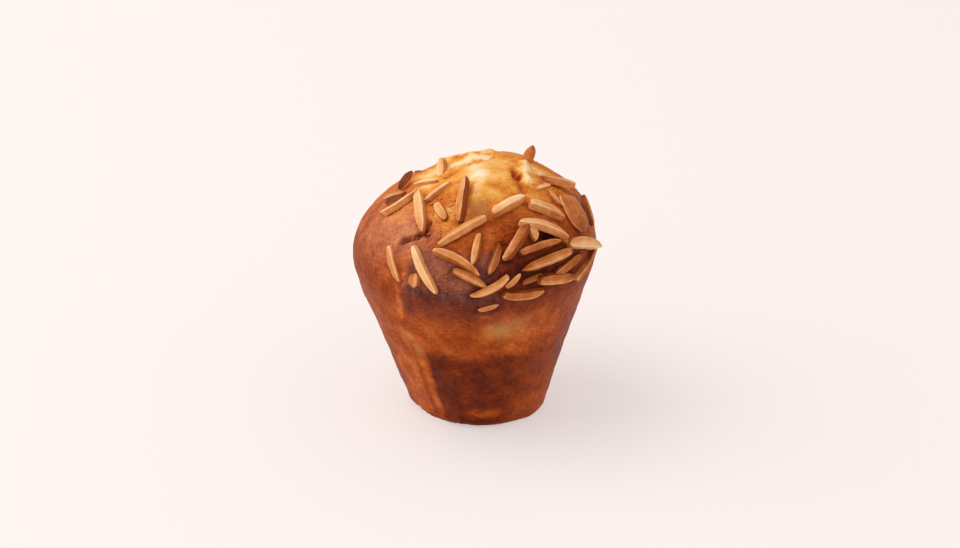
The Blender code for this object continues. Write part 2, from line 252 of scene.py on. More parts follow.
def crustMaterial():
    # Baked wheat batter: a dry, closed skin, browned unevenly, with pin pores. It gives
    # the eye a soft sheen on the dark parts and a matt, open crumb on the pale ones.
    look = crustLook
    made, tree, shader = newMaterial("browned muffin crust", look["sockets"])
    place = addNode(tree, "ShaderNodeTexCoord").outputs["Object"]
    inMm, flat = [
        addNode(tree, "ShaderNodeMapping", {
            "Vector": place, "Scale": (1 / mm, 1 / mm, flatness / mm)}).outputs[0]
        for flatness in (1, look["fleckFlatness"])]
    browning, dusk, bare = [
        addNode(tree, "ShaderNodeAttribute", attribute_name=name).outputs["Fac"]
        for name in ("browning", "dusk", "bare")]
    patches = addNode(tree, "ShaderNodeTexNoise", {
        "Vector": inMm, "Scale": 1 / look["patchSize"], "Detail": 4,
        "Roughness": 0.6}).outputs["Fac"]
    flecks = addNode(tree, "ShaderNodeTexNoise", {
        "Vector": flat, "Scale": 1 / look["fleckSize"], "Detail": 2.5,
        "Roughness": 0.62}).outputs["Fac"]
    grain = addNode(tree, "ShaderNodeTexNoise", {
        "Vector": inMm, "Scale": 1 / look["grainSize"], "Detail": 2}).outputs["Fac"]
    pores = addNode(tree, "ShaderNodeTexVoronoi", {
        "Vector": inMm, "Scale": 1 / look["poreSpacing"]}).outputs["Distance"]
    poreDepth = addNode(tree, "ShaderNodeMapRange", {
        "Value": pores, "From Min": look["poreEdges"][0], "From Max": look["poreEdges"][1],
        "To Min": 1.0, "To Max": 0.0}, interpolation_type='SMOOTHSTEP').outputs[0]

    # Patches and flecks lighten the crust as often as they darken it.
    change = -(look["patchChange"] + look["fleckChange"]) / 2
    for pattern, share in [(patches, look["patchChange"]), (flecks, look["fleckChange"]),
                           (poreDepth, look["poreChange"])]:
        change = addNode(tree, "ShaderNodeMath", {0: pattern, 1: share, 2: change},
                         operation='MULTIPLY_ADD').outputs[0]
    # Pale batter browned evenly, and the crust round it did not.
    uneven = addNode(tree, "ShaderNodeMapRange", {
        "Value": browning, "From Min": look["unevenTones"][0], "From Max": look["unevenTones"][1],
        "To Min": look["evenShare"], "To Max": 1.0}).outputs[0]
    tone = addNode(tree, "ShaderNodeMath", {0: change, 1: uneven, 2: browning},
                   operation='MULTIPLY_ADD').outputs[0]
    colour = addNode(tree, "ShaderNodeValToRGB", {"Fac": tone}, look["ramp"]).outputs["Color"]
    dulled = addNode(tree, "ShaderNodeHueSaturation", {
        "Color": colour, "Fac": dusk, "Saturation": look["dulledSaturation"],
        "Value": look["dulledValue"]}).outputs[0]
    crumbShare = addNode(tree, "ShaderNodeMath", {0: flecks, 1: look["bareFlecks"]},
                         operation='MULTIPLY').outputs[0]
    bareShare = addNode(tree, "ShaderNodeMath", {0: crumbShare, 1: bare},
                        operation='MULTIPLY', use_clamp=True).outputs[0]
    dusted = addNode(tree, "ShaderNodeMix", {
        0: bareShare, 6: dulled, 7: linearColour(look["bare"])}, data_type='RGBA').outputs[2]
    tree.links.new(dusted, shader.inputs["Base Color"])
    sheen = addNode(tree, "ShaderNodeMapRange", {
        "Value": tone, "From Min": look["sheenTones"][0], "From Max": look["sheenTones"][1],
        "To Min": look["roughness"][0], "To Max": look["roughness"][1]}).outputs[0]
    tree.links.new(sheen, shader.inputs["Roughness"])

    height = grain
    for pattern, rise in [(flecks, look["fleckRise"]), (poreDepth, look["poreRise"])]:
        height = addNode(tree, "ShaderNodeMath", {0: pattern, 1: rise, 2: height},
                         operation='MULTIPLY_ADD').outputs[0]
    bump = addNode(tree, "ShaderNodeBump", {
        "Height": height, "Strength": look["reliefStrength"],
        "Distance": look["reliefDepth"]}).outputs[0]
    tree.links.new(bump, shader.inputs["Normal"])
    return made


almondLook = {
    # roasting from a blanched white to a scorched brown
    "ramp": [(0.0, "#ffe3ba"), (0.22, "#f8c48b"), (0.42, "#e2985a"), (0.60, "#bd6a30"),
             (0.78, "#843d10"), (1.0, "#461b08")],
    "skin": "#97481a",          # papery brown skin left on some faces
    "skinFlecks": 0.9,          # how strongly the fibres break it up
    "skinEdge": (0.75, 1.15),   # of skin and fibres together, from bare to covered
    "streakSize": (9.0, 0.55, 0.55),   # mm along, across and through: the nut's fibres
    "mottleSize": 3.0,          # mm
    # how far each moves the toasting
    "streakChange": 0.30,
    "mottleChange": 0.34,
    "reliefDepth": 0.2 * mm,
    "reliefStrength": 0.5,
    "sockets": {"Roughness": 0.5, "IOR": 1.46, "Specular IOR Level": 0.15,
                "Subsurface Weight": 0.12, "Subsurface Radius": (1.0, 0.6, 0.3),
                "Subsurface Scale": 1.2 * mm},
}


def almondMaterial():
    # Slivered almonds, cut with a blade and dry roasted: matt, waxy, with fine fibres along
    # them, brighter edges that partly hold a painted highlight, and toasted faces with painted
    # shade on their sides.
    look = almondLook
    made, tree, shader = newMaterial("roasted almond", look["sockets"])
    grain = addNode(tree, "ShaderNodeAttribute", attribute_name="grainPlace").outputs["Vector"]
    toast, skin = [addNode(tree, "ShaderNodeAttribute", attribute_name=name).outputs["Fac"]
                   for name in ("toast", "skin")]
    along = addNode(tree, "ShaderNodeMapping", {
        "Vector": grain, "Scale": tuple(1 / size for size in look["streakSize"])}).outputs[0]
    streaks = addNode(tree, "ShaderNodeTexNoise", {
        "Vector": along, "Scale": 1.0, "Detail": 3, "Roughness": 0.6}).outputs["Fac"]
    mottle = addNode(tree, "ShaderNodeTexNoise", {
        "Vector": grain, "Scale": 1 / look["mottleSize"], "Detail": 3}).outputs["Fac"]
    change = -(look["streakChange"] + look["mottleChange"]) / 2
    for pattern, share in [(streaks, look["streakChange"]), (mottle, look["mottleChange"])]:
        change = addNode(tree, "ShaderNodeMath", {0: pattern, 1: share, 2: change},
                         operation='MULTIPLY_ADD').outputs[0]
    tone = addNode(tree, "ShaderNodeMath", {0: change, 1: toast}).outputs[0]
    colour = addNode(tree, "ShaderNodeValToRGB", {"Fac": tone}, look["ramp"]).outputs["Color"]
    skinShare = addNode(tree, "ShaderNodeMath", {0: streaks, 1: look["skinFlecks"], 2: skin},
                        operation='MULTIPLY_ADD').outputs[0]
    skinShare = addNode(tree, "ShaderNodeMapRange", {
        "Value": skinShare, "From Min": look["skinEdge"][0],
        "From Max": look["skinEdge"][1]}).outputs[0]
    covered = addNode(tree, "ShaderNodeMix", {
        0: skinShare, 6: colour, 7: linearColour(look["skin"])}, data_type='RGBA').outputs[2]
    tree.links.new(covered, shader.inputs["Base Color"])
    bump = addNode(tree, "ShaderNodeBump", {
        "Height": streaks, "Strength": look["reliefStrength"],
        "Distance": look["reliefDepth"]}).outputs[0]
    tree.links.new(bump, shader.inputs["Normal"])
    return made


crust = {
    "cuts": 127,                # of each edge of the cube that the skin is pulled from
    # share of the browning ramp by height, before the spots
    "browningHeights": [0, 3, 10, 30, 36, 49, 55, 62, 74, 84, 88, 91.3],
    "browningShares": [0.64, 0.63, 0.63, 0.64, 0.60, 0.61, 0.66, 0.61, 0.53, 0.45, 0.38, 0.29],
    # azimuth, height, spread, stretch round the muffin, change of the browning
    "spots": [
        (-83, 91.2, 3.4, 1.0, -0.18),      # pale batter of the burst
        (-15, 90.8, 4.4, 1.0, -0.29),
        (-11, 89.3, 3.4, 1.0, -0.20),
        (-9, 87.6, 3.0, 1.0, -0.14),
        (118, 91.1, 3.6, 1.0, -0.12),
        (34, 90.1, 3.4, 1.0, -0.05),       # its golden right side
        (10, 87.6, 4.0, 1.0, -0.12),
        (12, 81.0, 6.5, 1.3, 0.11),
        (-42, 87.6, 4.0, 1.0, 0.02),       # torn crumb to the left of it
        (-29, 83.6, 4.2, 1.0, -0.27),
        (-105, 88.9, 3.4, 1.0, -0.20),     # floury batter behind the left slivers
        (-110, 87.2, 4.2, 1.2, -0.26),
        (-104, 84.8, 4.0, 1.4, -0.20),
        (-79, 87.6, 4.5, 1.0, -0.35),
        (64, 89.9, 2.0, 1.0, 0.18),        # painted shade in the pit beside the burst
        (104, 87.4, 4.5, 1.2, -0.20),
        (58, 87.6, 4.0, 1.2, -0.03),
        (-60, 75.5, 10.0, 1.4, -0.07),     # smooth left shoulder
        (-92, 60, 9.0, 1.6, 0.08),
        (-39, 39.5, 2.8, 0.9, -0.07),      # scuffs where the skin stuck to the tin
        (-35.5, 34.0, 2.6, 1.1, -0.08),
        (-34, 38, 6.5, 0.9, -0.05),
        (13, 45, 4.2, 1.5, -0.06),         # pale patch on the front of the wall
        (28, 46, 6.5, 2.0, -0.08),
        (6, 6.3, 2.0, 3.4, -0.24),         # band round the foot
        (4, 3.2, 1.0, 2.4, 0.14),          # darker spot at its lower edge
        (34, 7, 5.0, 1.3, -0.06),
        (66, 32, 11, 1.0, 0.12),
        (78, 18, 8, 1.0, 0.08),
        (14, 70, 5, 1.4, 0.12),            # painted shade in the gaps under the heaped slivers
        (38, 67, 11, 2.0, 0.18),
        (38, 77, 3.2, 1.8, 0.36),          # painted shade in the hollow under the arched sliver
        (30, 73.5, 3.0, 2.0, -0.04),
        (16, 72.6, 3.4, 1.2, 0.10),
        (-66, 60, 9, 1.2, 0.06)],
    # azimuth, height, spread, stretch and share of dry, floury crumb
    "bareSpots": [
        (-4, 85.6, 3.6, 1.0, 0.7), (-8, 88.0, 2.6, 1.0, 0.3),       # edge of the burst
        (12, 45.5, 3.4, 1.3, 0.9), (21, 47.5, 3.6, 1.6, 0.35),      # front of the wall
        (-39, 39.8, 2.0, 0.9, 0.8), (-35.5, 34.0, 2.0, 1.1, 0.7),   # scuffs
        (140, 40, 3.0, 1.4, 0.5), (-152, 28, 2.4, 0.8, 0.5), (205, 12, 2.4, 2.0, 0.4)],
    # the same, with the share of dull crust, of torn crumb and of crust under heaped slivers,
    # which gets painted shade
    "duskSpots": [(40, 66, 12, 1.8, 0.08), (-66, 74, 13, 1.2, 0.14), (-42, 77, 8, 1.2, 0.16)],
    "tornSpots": [(-33, 82, 7, 1.2, 1.0), (15, 80, 7, 1.4, 1.0), (85, 87, 6, 1.0, 0.15)],
    "heapSpots": [(28, 70, 15, 1.6, 1.0), (180, 67, 20, 2.0, 1.0)],
    "heapShade": 0.13,         # painted shade between the heaped slivers, as darker browning
    "sliverShade": 0.05,       # painted shade round every sliver
    "sliverShadeReach": (1.2, 1.6),  # mm, from its middle line to where the painted shade fades, and how softly
    # bands: azimuths from and to and the softness of their sides, heights and theirs, change
    # of the browning and share of dull crust
    "bands": {
        "besideSeam": ((-66, -40, 8, 2), (-9, 30, 1, 5), -0.08, 0),
        "underCrown": ((-42, 0, 7, 30), (46, 59, 10, 6), 0.12, 0.10),
        "pebbly": ((-38, 4, 5, 10), (58, 72, 2, 4), 0.08, 0.24)},
    # dark foot, with a straight upright edge at the left where the tin had a seam
    "seamAzimuth": -28.3,
    "seamLean": -0.05,          # degrees for each mm up
    "footFades": (14, 1.8, 40),     # azimuth where it starts to fade, softness of its sides
    "footHeights": (-9, 31, 1, 5),
    "footChange": 0.19,
    "seamPale": (-3.2, 2.6, -0.13),     # beside the edge: degrees away, width and change
    "seamHeights": (4, 28, 3, 4),
    # route, width and change of the browning along it; the darkening along the tears, cracks and
    # the crease under the flap is painted shade
    "strokes": [
        (muffin["creases"]["tear"][0], 1.3, 0.13),
        (muffin["creases"]["pit"][0], 1.7, 0.19),
        (muffin["creases"]["burstRight"][0], 1.4, 0.10),
        (muffin["creases"]["burstLeft"][0], 0.8, 0.08),
        (muffin["creases"]["backTear"][0], 1.4, 0.2),
        (muffin["creases"]["sideTear"][0], 1.2, 0.2),
        ([(-114, 89.4), (-120, 90.1), (-144, 90.6), (177, 90.6)], 2.4, -0.26),    # lifted flap
        ([(-135, 87.6), (-143, 89.0), (-156, 90.0), (170, 90.1)], 1.8, -0.14),
        ([(-141, 89.3), (-156, 90.2), (170, 90.3)], 0.6, 0.26),    # its toasted rim
        (muffin["creases"]["underFlap"][0], 0.8, 0.18),
        (muffin["creases"]["tongue"][0], 2.0, -0.28),
        ([(-37.5, 64), (-39.5, 54), (-40.5, 48)], 1.8, -0.17)],    # scrape below the shoulder
    # route, width, depth and raised lip of ragged cracks, in mm
    "cracks": [
        ([(-45, 74.4), (-41, 76.1), (-37, 77.3), (-35, 79), (-36.5, 81.2)], 0.8, 1.4, 0.5),
        ([(-37, 77.4), (-34.5, 78.0), (-31.8, 78.1)], 0.6, 1.0, 0.3),
        ([(33, 79), (38, 77), (44, 75.6)], 1.6, 1.4, 0.0),
        ([(74, 90.2), (57, 89.7)], 1.0, 0.9, 0.2),
        ([(128, 78), (146, 80.5), (160, 84), (163, 87)], 0.8, 1.0, 0.4),
        ([(-150, 75), (-138, 79), (-128, 80.5)], 0.7, 0.9, 0.4)],
    # uneven browning where nothing shows from the front
    "backSpots": 26,
    "backAzimuths": (75, 285),
    "backHeights": (4, 88),
    "backSpreads": (4, 9),
    "backStretches": (0.8, 1.8),
    "backChanges": (-0.15, 0.13),
    "seed": 5,
    # mm, how wide the waves of a ragged edge are and how far they reach, coarse and fine
    "wobbleSizes": (4.5, 1.4),
    "raggedReaches": (1.8, 0.9),
    "calmReaches": (0.5, 0.5),
    # relief, in mm
    "swells": [(9, 0.32), (3.6, 0.14), (1.7, 0.10)],    # width and height
    "pores": (2.6, 0.65),       # spacing and radius
    "poreDepth": 0.20,
    "pebbles": (1.5, 0.85),
    "pebbleHeight": 0.34,
    "pebbleSink": 0.4,          # of their height, so that the crust stays where it is
    "tornFolds": (2.6, 1.1),    # width and height
    "tornSink": 0.4,
    "tornCrumb": (1.1, 0.30),
    "crackJags": (1.6, 0.8),
    "lipPlace": 2.2,            # of a crack's width, away from it
    "lipWidth": 0.9,
}


# How far each step of a seed moves a pattern, in its own sizes.
noiseShift = np.array([13.7, -7.3, 5.9])
cellShift = np.array([3.1, 8.7, -4.3])


def noiseField(points, size, seed):
    shifted = points / size + seed * noiseShift
    return np.array([noise.noise(place) for place in shifted.tolist()])


def noiseVectors(points, size, seeds):
    return np.stack([noiseField(points, size, seed) for seed in seeds], axis=1)


def cellDistance(points, size, seed):
    # Distance in mm to the nearest of scattered points that lie about size apart.
    shifted = points / size + seed * cellShift
    return np.array([noise.voronoi(place)[0][0] for place in shifted.tolist()]) * size


def mounds(points, spacing, radius, seed):
    return np.clip(1 - (cellDistance(points, spacing, seed) / radius)**2, 0, 1)


def spotShare(points, azimuth, height, spread, stretch):
    offset = points - turnedPoint(azimuth, height)
    angle = math.radians(azimuth)
    around = offset @ np.array([math.cos(angle), math.sin(angle), 0])
    rest = np.sum(offset**2, axis=1) - around**2
    return np.exp(-(around / (spread * stretch))**2 - rest / spread**2)


def spotSum(points, spots):
    return sum(amount * spotShare(points, *place) for *place, amount in spots)


def between(value, low, high, softLow, softHigh):
    return smoothStep((value - low) / softLow) * (1 - smoothStep((value - high) / softHigh))


def turnedSkin(bm):
    # Spreads the cube's points over the turned form, with about the same area to each face.
    crownSteps, wallSteps = 400, 800
    co = np.array([vert.co for vert in bm.verts])
    co = np.tan(co * math.pi / 4)
    direction = co / np.linalg.norm(co, axis=1)[:, None]
    m = muffin
    quarter = np.radians(np.linspace(90, 0, crownSteps))
    crownHeights = m["shoulderHeight"] + m["crownHeight"] * np.sin(quarter)
    wallHeights = np.linspace(m["shoulderHeight"], m["footRounding"], wallSteps)[1:]
    roundingHeights = m["footRounding"] * (1 - np.sin(quarter[::-1]))[1:]
    heights = np.concatenate([crownHeights, wallHeights, roundingHeights])
    radii = turnedRadius(heights)
    heights = np.append(heights, 0)
    radii = np.append(radii, 0)
    run = np.hypot(np.diff(radii), np.diff(heights))
    area = np.concatenate([[0], np.cumsum(run * (radii[1:] + radii[:-1]))])
    # Within a flat disc the area grows with the square of the radius.
    share = (1 - direction[:, 2]) / 2 * area[-1]
    height = np.interp(share, area, heights)
    discArea = area[-1] - area[-2]
    radius = np.where(share > area[-2],
                      m["footRadius"] * np.sqrt(np.clip((area[-1] - share) / discArea, 0, 1)),
                      turnedRadius(height))
    level = np.maximum(np.hypot(direction[:, 0], direction[:, 1]), 1e-9)
    return np.stack([direction[:, 0] / level * radius, direction[:, 1] / level * radius,
                     height], axis=1)


def crustPaint(points):
    # How brown, dull, bare, torn and pebbly the crust is at each point; the browning holds
    # painted shade in the tears, the gaps and round the slivers.
    c = crust
    wide = noiseVectors(points, c["wobbleSizes"][0], (1, 2, 3))
    fine = noiseVectors(points, c["wobbleSizes"][1], (4, 5, 6))
    ragged, calm = [points + wideReach * wide + fineReach * fine
                    for wideReach, fineReach in (c["raggedReaches"], c["calmReaches"])]
    height = ragged[:, 2]
    azimuth = np.degrees(np.arctan2(calm[:, 0], -calm[:, 1]))
    browning = np.interp(height, c["browningHeights"], c["browningShares"])
    browning += spotSum(ragged, c["spots"])
    draw = random.Random(c["seed"])
    for _ in range(c["backSpots"]):
        share = spotShare(ragged, draw.uniform(*c["backAzimuths"]),
                          draw.uniform(*c["backHeights"]), draw.uniform(*c["backSpreads"]),
                          draw.uniform(*c["backStretches"]))
        browning += draw.uniform(*c["backChanges"]) * share
    edge = c["seamAzimuth"] + c["seamLean"] * height
    foot = between(azimuth, edge, *c["footFades"]) * between(height, *c["footHeights"])
    browning += c["footChange"] * foot
    side, width, change = c["seamPale"]
    seam = np.exp(-((azimuth - edge - side) / width)**2) * between(height, *c["seamHeights"])
    browning += change * seam
    dusk = spotSum(points, c["duskSpots"])
    shares = {}
    for name, (azimuths, heights, change, dulling) in c["bands"].items():
        shares[name] = between(azimuth, *azimuths) * between(height, *heights)
        browning += change * shares[name]
        dusk += dulling * shares[name]
    # Painted shade darkens the tears and cracks along their routes, and torn lips are pale.
    for route, width, change in c["strokes"]:
        browning += change * np.exp(-(routeDistance(ragged, route) / width)**2)
    # Painted shade round the slivers, deeper where they lie heaped.
    away, softness = c["sliverShadeReach"]
    near = np.exp(-(np.maximum(sliverDistance(points) - away, 0) / softness)**2)
    heap = np.clip(spotSum(points, c["heapSpots"]), 0, 1)
    browning += near * (c["sliverShade"] + c["heapShade"] * heap)
    bare = spotSum(ragged, c["bareSpots"])
    torn = np.clip(spotSum(points, c["tornSpots"]), 0, 1)
    return browning, dusk, bare, torn, shares["pebbly"]


def crustRelief(points, torn, pebbly):
    # How far the skin stands out at each point, in mm.
    c = crust
    skin = 1 - np.clip(torn + pebbly, 0, 1)
    relief = sum(height * noiseField(points, size, seed)
                 for seed, (size, height) in enumerate(c["swells"], 11))
    relief -= skin * c["poreDepth"] * mounds(points, *c["pores"], 1)
    pebbles = mounds(points, *c["pebbles"], 2) - c["pebbleSink"]
    relief += pebbly * c["pebbleHeight"] * pebbles
    size, height = c["tornFolds"]
    relief += torn * (height * np.abs(noiseField(points, size, 14)) - c["tornSink"])
    size, height = c["tornCrumb"]
    relief += torn * height * noiseField(points, size, 15)
    size, reach = c["crackJags"]
    jagged = points + reach * noiseVectors(points, size, (7, 8, 9))
    for route, width, depth, lip in c["cracks"]:
        away = routeDistance(jagged, route) / width
        relief -= depth * np.exp(-away**2)
        relief += lip * np.exp(-((away - c["lipPlace"]) / c["lipWidth"])**2)
    return relief


def setAttributes(mesh, **attributes):
    # Gives each point of a mesh the values that the materials read.
    for name, values in attributes.items():
        kind, part = ('FLOAT_VECTOR', 'vector') if values.ndim == 2 else ('FLOAT', 'value')
        made = mesh.attributes.new(name, kind, 'POINT')
        made.data.foreach_set(part, values.astype(np.float32).ravel())


def placePoints(mesh, co):
    # Moves a mesh's points to co, in mm, and holds them inside the solid's own box.
    held = np.clip(co * mm, *np.array(cadBox))
    mesh.vertices.foreach_set("co", held.astype(np.float32).ravel())
    mesh.update()


def newPiece(name, bm, co, material):
    # Makes a piece of a bmesh whose points go to co. It takes the solid's place.
    mesh = bpy.data.meshes.new(name)
    bm.to_mesh(mesh)
    bm.free()
    placePoints(mesh, co)
    mesh.polygons.foreach_set("use_smooth", [True] * len(mesh.polygons))
    mesh.materials.append(material)
    piece = bpy.data.objects.new(name, mesh)
    bpy.context.scene.collection.objects.link(piece)
    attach(piece, "root")
    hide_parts("almond_muffin")
    return piece


def buildCrust(material):
    bm = bmesh.new()
    bmesh.ops.create_cube(bm, size=2)
    bmesh.ops.subdivide_edges(bm, edges=bm.edges, cuts=crust["cuts"], use_grid_fill=True)
    bmesh.ops.recalc_face_normals(bm, faces=bm.faces)
    turned = turnedSkin(bm)
    onFoot = turned[:, 2] < 0.01
    co = baked(turned)
    co[onFoot, 2] = 0
    browning, dusk, bare, torn, pebbly = crustPaint(turned)
    piece = newPiece("crust", bm, co, material)
    normals = np.empty(len(co) * 3, np.float32)
    piece.data.vertices.foreach_get("normal", normals)
    co += normals.reshape(-1, 3) * crustRelief(turned, torn, pebbly)[:, None]
    co[:, 2] = np.where(onFoot, 0, np.maximum(co[:, 2], 0))
    placePoints(piece.data, co)
    setAttributes(piece.data, browning=browning, dusk=dusk, bare=bare)


almonds = {
    "thickness": 0.68,          # of the width
    "maxThickness": 3.8,        # mm
    "sink": 0.9,                # mm, baked into the crust
    "sag": 0.5,                 # how much of the crust's curve a sliver follows
    "cuts": (26, 7, 4),         # of the grid along, across and through
    "crowding": (1.2, 1.9, 1.9),    # of the cuts towards the edges, 1 for none
    "topWidth": 0.78,           # of the upper face, of the lower one
    "bluntEnds": (0.5, 0.76),   # of the width, at the two ends
    "pointedEnds": (0.16, 0.46),
    "taperPower": 2.7,          # higher keeps more of the middle wide
    "thinEnds": 0.45,           # how much of the taper goes into the thickness
    "cutSlants": (-0.9, 0.9),   # mm, of the two ends
    "cornerRounding": 0.04,     # of half the length, at the corners of the ends
    "rounding": 0.34,           # of the section's corners, 1 for an oval
    "halfRounding": 0.9,
    "dome": (0.25, 0.9),        # of a half's thickness: at its edge, and the rise to its middle
    "maxDish": 0.22,            # mm, hollow in the upper face
    "sideWaves": (4.0, 0.24),   # mm, length and height of the unevenness
    "topWaves": (5.0, 0.13),
    # where a sliver's faces start or end, in shares of half its size
    "topEdge": 0.86,
    "skinEdge": 0.9,            # skin on a side
    "cutEdge": (-0.35, 0.25),   # bare edge of a half, and how softly it ends
    "halfSkinEdge": (-0.4, 0.6),    # skin of a half, and how softly it starts
    # change of the toasting, and of the painted highlight and shade
    "faceToast": 0.02,          # middle of the upper face
    "rimToastAndHighlight": -0.10,          # its edges: paler toasting and a painted highlight where they catch the light
    "rimPowers": (16, 5),       # higher makes them narrower, along and across
    # the sides: deeper toasting, and painted shade
    "sideToastAndShade": 0.16,
    "cutEdgeToast": -0.45,      # bare edge under a half's skin
    "tipToasts": (-0.06, 0.20),
    "tipPower": 6,              # higher keeps it closer to the tips
    "acrossToasts": (-0.14, 0.14),
    "alongToasts": (-0.10, 0.12),
    "halfSkin": 0.5,            # how much of a half its brown skin still covers
    "halfSkinFade": 0.4,        # and how much less of it towards one side
    "lineReach": 0.45,          # of the length, from the middle, that the crust browned round
    "seed": 3,
    # slivers on the part that does not show from the front
    "strewnCount": 42,
    "strewnDraws": 900,
    "strewnSeed": 11,
    "strewnAzimuths": (96, 262),
    "strewnHeights": (59.5, 87),
    "strewnLengths": (9, 20),
    "strewnWidths": (2.6, 4.2),
    "strewnBows": (-1, 1),
    "strewnTones": (0.34, 0.6),
    "strewnSkins": [0, 0, 0, 1, -1, 2],
    "strewnSpacing": 5.4,       # mm, the least from one's middle to the next
    "strewnNear": 8.1,          # mm, to a near neighbour
    "strewnLift": 0.35,         # mm, for each of up to two near neighbours
    "strewnRoll": 16,           # degrees, for each mm of bow
    "frontView": (0, -0.906, 0.423),
    "hiddenFacing": -0.38,
    "rimFacing": -0.52,         # past this they may lie any way round
}

# Turn is the direction of the long side: 0 points round to the right and 90 up to the crown.
# Tone goes from 0, blanched, to 1, scorched. Skin is the face that keeps its brown skin:
# 1 or -1 for a side, 2 for the top.
Sliver = namedtuple("Sliver", "azimuth height turn length width tone bow lift rise roll skin",
                    defaults=(0, 0.2, 0, 0, 0))
frontSlivers = [
    # left of the crown
    Sliver(-97, 84, 135, 8.2, 4.4, 0.86, lift=1.6, rise=22, skin=2),
    Sliver(-87, 81.2, 58, 10.5, 2.6, 0.44, lift=0.4),
    Sliver(-78.5, 81.3, 46, 9.5, 4.2, 0.86, lift=0.5, skin=2),
    Sliver(-71, 81.4, 68, 17, 3.4, 0.26, bow=-3.4, lift=0.5, roll=-15),
    Sliver(-79, 87.4, 42, 11.5, 3.0, 0.18, lift=0.2),
    Sliver(-104, 89.2, 0, 10, 3.8, 0.24, lift=0.4, rise=-28),
    Sliver(-46.5, 82.4, -44, 19, 4.2, 0.30, lift=0.4),
    Sliver(-49, 87.3, 84, 11.5, 3.0, 0.23, lift=0.2, roll=-15),
    Sliver(-32, 84.1, -38, 8, 3.8, 0.35, lift=0.4),
    Sliver(-19, 86.8, 98, 19.5, 3.7, 0.42, lift=0.5, rise=3, roll=-24, skin=-1),
    # left shoulder
    Sliver(-44.5, 67.1, -48, 13.8, 3.1, 0.40, bow=-0.5, roll=-12),
    Sliver(-27, 68.1, -50, 19, 3.7, 0.24, bow=-0.5, roll=8),
    Sliver(-30, 64.5, -85, 5, 4.4, 0.48),
    # front of the shoulder
    Sliver(-12.5, 80.5, 218, 19.5, 3.7, 0.40, lift=0.6, roll=32),
    Sliver(-11.5, 72.4, -24, 19, 3.4, 0.44, bow=1.0, lift=0.3, roll=-26),
    Sliver(-4, 67.4, -26, 13.5, 3.1, 0.50, bow=0.4, lift=0.3, roll=-24),
    Sliver(5.5, 64.4, 206, 15, 3.3, 0.44, bow=1.2, lift=0.6, roll=20),
    Sliver(21.5, 60.8, -5, 15.2, 3.9, 0.56, bow=-0.8, roll=8),
    Sliver(-3, 76, 260, 11.5, 2.9, 0.38, roll=16),
    Sliver(7, 73, 247, 11.5, 3.1, 0.62, bow=0.6, roll=-10),
    Sliver(20, 78, 47, 18.5, 3.9, 0.58, bow=-0.8, lift=0.6, roll=-34, skin=-1),
    Sliver(16.5, 65.8, 37, 7, 2.4, 0.40, bow=-0.5, roll=-12),
    Sliver(26, 65.5, 12, 9, 2.8, 0.70, lift=-0.2),
    Sliver(6, 56.4, 20, 7.5, 2.4, 0.46, lift=-0.5, roll=-10),
    # right shoulder
    Sliver(39, 63.5, -10, 16.5, 4.5, 0.54, lift=0.2),
    Sliver(60, 61.8, 15, 14, 3.5, 0.56),
    Sliver(34, 70.4, 185, 22, 4.0, 0.50, lift=0.6, roll=14),
    Sliver(32, 74.8, 3, 17, 3.4, 0.56, lift=0.3, roll=-16),
    Sliver(47, 66.4, 13, 16, 3.4, 0.60, roll=-12),
    Sliver(68, 64.3, 20, 12, 3.2, 0.56, lift=0.3),
    Sliver(60.5, 70.3, -25, 18, 4.8, 0.28, bow=0.8, lift=0.9, rise=8),
    # right of the crown
    Sliver(30, 79.4, 96, 7.5, 3.6, 0.40),
    Sliver(37.5, 79.2, -34, 19.5, 4.0, 0.34, bow=1.6, lift=0.9, roll=-24),
    Sliver(46.5, 75.2, -55, 9.5, 2.4, 0.46, lift=0.5),
    Sliver(19, 85.6, 23, 15, 4.2, 0.16, bow=0.2, lift=0.5, roll=-20),
    Sliver(46.5, 82.8, -48, 13.5, 4.6, 0.36, bow=0.8, lift=0.5, roll=-14),
    Sliver(67, 78.7, 247, 14.5, 10.5, 0.58, lift=0.4, skin=2),
    Sliver(83, 75.8, 215, 13.5, 3.0, 0.46, lift=1.2),
    Sliver(86, 85.2, 88, 13, 4.2, 0.44, lift=1.4, rise=-14, roll=8),
    Sliver(71, 86.8, -17, 9.5, 1.9, 0.26, lift=0.2),
    Sliver(64.5, 84.2, -108, 8.5, 2.4, 0.38),
    Sliver(123, 88.5, 138, 9, 4.6, 0.34, lift=1.0, rise=48),
]


def strewnSlivers():
    # The solid has them in the same places, from the same draws.
    a = almonds
    view = np.array(a["frontView"])
    draw = random.Random(a["strewnSeed"])
    lookDraw = random.Random(a["seed"])
    placed, centres = [], []
    for _ in range(a["strewnDraws"]):
        azimuth = draw.uniform(*a["strewnAzimuths"])
        height = draw.uniform(*a["strewnHeights"])
        turn = draw.uniform(0, 180)
        length = draw.uniform(*a["strewnLengths"])
        width = draw.uniform(*a["strewnWidths"])
        bow = draw.uniform(*a["strewnBows"])
        centre = turnedPoint(azimuth, height)
        outward = turnedNormals(centre[None])[0]
        facing = outward @ view
        if facing > a["hiddenFacing"]:
            continue
        if facing > a["rimFacing"]:
            # Near the outline they lie along it, within 10 degrees.
            angle = math.radians(azimuth)
            roundRight = np.array([math.cos(angle), math.sin(angle), 0])
            rim = np.cross(outward, view)
            rimTurn = math.atan2(rim @ np.cross(outward, roundRight), rim @ roundRight)
            turn = math.degrees(rimTurn) + turn / 9 - 10
        away = [np.linalg.norm(centre - other) for other in centres]
        if any(gap < a["strewnSpacing"] for gap in away):
            continue
        near = sum(gap < a["strewnNear"] for gap in away)
        centres.append(centre)
        tone = lookDraw.uniform(*a["strewnTones"])
        placed.append(Sliver(azimuth, height, turn, length, width, tone, bow,
                             a["strewnLift"] * min(2, near), roll=a["strewnRoll"] * bow,
                             skin=lookDraw.choice(a["strewnSkins"])))
    return placed[:a["strewnCount"]]


